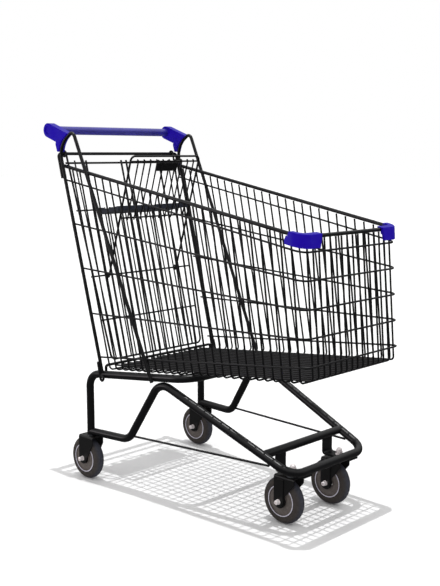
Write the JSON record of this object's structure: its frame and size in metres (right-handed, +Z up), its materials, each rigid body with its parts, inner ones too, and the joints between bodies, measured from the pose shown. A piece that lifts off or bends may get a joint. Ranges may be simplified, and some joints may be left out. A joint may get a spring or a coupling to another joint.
{
  "type": "shopping trolley",
  "caption": "Nesting shopping trolley: wire basket, bent tube chassis, swivel casters, swing-up rear gate and folding child seat, with blue handle and corner bumpers.",
  "frame": {"origin": "on the floor, under the middle of the whole trolley", "axes": "+Z up; -Y the way the trolley travels; X across it, +X on the left of the person who pushes"},
  "size_m": [0.525, 0.9532, 1.0345],
  "materials": {
    "coated_tube": "satin black powder coat on bent steel tube",
    "coated_strap": "satin black powder coat on flat steel bar",
    "coated_wire": "satin black powder coat on welded steel wire",
    "blue_moulding": "semi-gloss moulded polypropylene, royal blue",
    "blue_grip": "semi-gloss extruded plastic sleeve, blue",
    "core_tube": "plain steel tube, hidden in the grip",
    "grey_moulding": "matt moulded polypropylene, slate grey",
    "plate": "blank sheet steel plate, powder coated",
    "bright_hardware": "bright plated steel nuts and bolts",
    "zinc_hardware": "zinc plated steel",
    "zinc_fork": "black coated pressed steel",
    "tyre": "dark grey moulded tread",
    "hub": "grey moulded nylon",
    "bearing": "steel bearing sleeve"
  },
  "bodies": {
    "chassis_and_basket": {"rear_hoop_tube": "coated_tube", "lower_frame_tube": "coated_tube", "nose_cross_tube": "coated_tube", "caster_strap_left": "coated_strap", "caster_strap_right": "coated_strap", "side_brace_left": "coated_wire", "side_brace_right": "coated_wire", "caster_bolts": "bright_hardware", "caster_races": "zinc_hardware", "caster_washers": "bright_hardware", "caster_dome_nuts": "bright_hardware", "caster_leg_plugs": "zinc_hardware", "basket_rim_rod": "coated_wire", "basket_band_wires": "coated_wire", "basket_cross_wires": "coated_wire", "basket_front_wires": "coated_wire", "basket_floor_rod": "coated_wire", "handle_rod_left": "coated_wire", "handle_rod_right": "coated_wire", "handle_bracket_left": "blue_moulding", "handle_bracket_right": "blue_moulding", "handle_grip": "blue_grip", "handle_core_tube": "core_tube", "bumper_left": "blue_moulding", "bumper_right": "blue_moulding", "gate_hinge_rod": "coated_wire", "gate_stop_wires": "coated_wire"},
    "rear_gate": {"gate_outer_rod": "coated_wire", "gate_cross_bars": "coated_wire", "gate_leg_rods": "coated_wire", "gate_wires": "coated_wire"},
    "seat_back": {"seat_back_frame": "coated_wire", "seat_back_bars": "coated_wire", "seat_back_wires": "coated_wire", "seat_back_plate": "plate"},
    "seat_flap": {"seat_pan": "grey_moulding"},
    "front_left_caster": {"front_left_fork": "zinc_fork", "front_left_axle": "bright_hardware"},
    "front_left_wheel": {"front_left_tyre": "tyre", "front_left_hub": "hub", "front_left_bearing": "bearing"},
    "front_right_caster": {"front_right_fork": "zinc_fork", "front_right_axle": "bright_hardware"},
    "front_right_wheel": {"front_right_tyre": "tyre", "front_right_hub": "hub", "front_right_bearing": "bearing"},
    "rear_left_caster": {"rear_left_fork": "zinc_fork", "rear_left_axle": "bright_hardware"},
    "rear_left_wheel": {"rear_left_tyre": "tyre", "rear_left_hub": "hub", "rear_left_bearing": "bearing"},
    "rear_right_caster": {"rear_right_fork": "zinc_fork", "rear_right_axle": "bright_hardware"},
    "rear_right_wheel": {"rear_right_tyre": "tyre", "rear_right_hub": "hub", "rear_right_bearing": "bearing"}
  },
  "joints": [
    {"name": "gate_swing", "type": "hinge", "parent": "chassis_and_basket", "child": "rear_gate", "pos_m": [0, 0.4205, 0.947], "axis": [-1, 0, 0], "range_deg": [0, 70]},
    {"name": "seat_back_fold", "type": "hinge", "parent": "rear_gate", "child": "seat_back", "pos_m": [0, 0.32567, 0.59354], "axis": [-1, 0, 0], "range_deg": [0, 23]},
    {"name": "seat_flap_lift", "type": "hinge", "parent": "rear_gate", "child": "seat_flap", "pos_m": [0, 0.37532, 0.78304], "axis": [-1, 0, 0], "range_deg": [0, 92]},
    {"name": "front_left_swivel", "type": "hinge", "parent": "chassis_and_basket", "child": "front_left_caster", "pos_m": [0.098, -0.3537, 0.13], "axis": [0, 0, 1], "continuous": true},
    {"name": "front_left_roll", "type": "hinge", "parent": "front_left_caster", "child": "front_left_wheel", "pos_m": [0.098, -0.326, 0.0625], "axis": [1, 0, 0], "continuous": true},
    {"name": "front_right_swivel", "type": "hinge", "parent": "chassis_and_basket", "child": "front_right_caster", "pos_m": [-0.098, -0.3537, 0.13], "axis": [0, 0, 1], "continuous": true},
    {"name": "front_right_roll", "type": "hinge", "parent": "front_right_caster", "child": "front_right_wheel", "pos_m": [-0.098, -0.326, 0.0625], "axis": [1, 0, 0], "continuous": true},
    {"name": "rear_left_swivel", "type": "hinge", "parent": "chassis_and_basket", "child": "rear_left_caster", "pos_m": [0.2274, 0.303, 0.13], "axis": [0, 0, 1], "continuous": true},
    {"name": "rear_left_roll", "type": "hinge", "parent": "rear_left_caster", "child": "rear_left_wheel", "pos_m": [0.2274, 0.319, 0.0625], "axis": [1, 0, 0], "continuous": true},
    {"name": "rear_right_swivel", "type": "hinge", "parent": "chassis_and_basket", "child": "rear_right_caster", "pos_m": [-0.2274, 0.303, 0.13], "axis": [0, 0, 1], "continuous": true},
    {"name": "rear_right_roll", "type": "hinge", "parent": "rear_right_caster", "child": "rear_right_wheel", "pos_m": [-0.2274, 0.319, 0.0625], "axis": [1, 0, 0], "continuous": true}
  ],
  "couplings": [
    {"joint": "seat_flap_lift", "follows": "seat_back_fold", "ratio": 4}
  ]
}
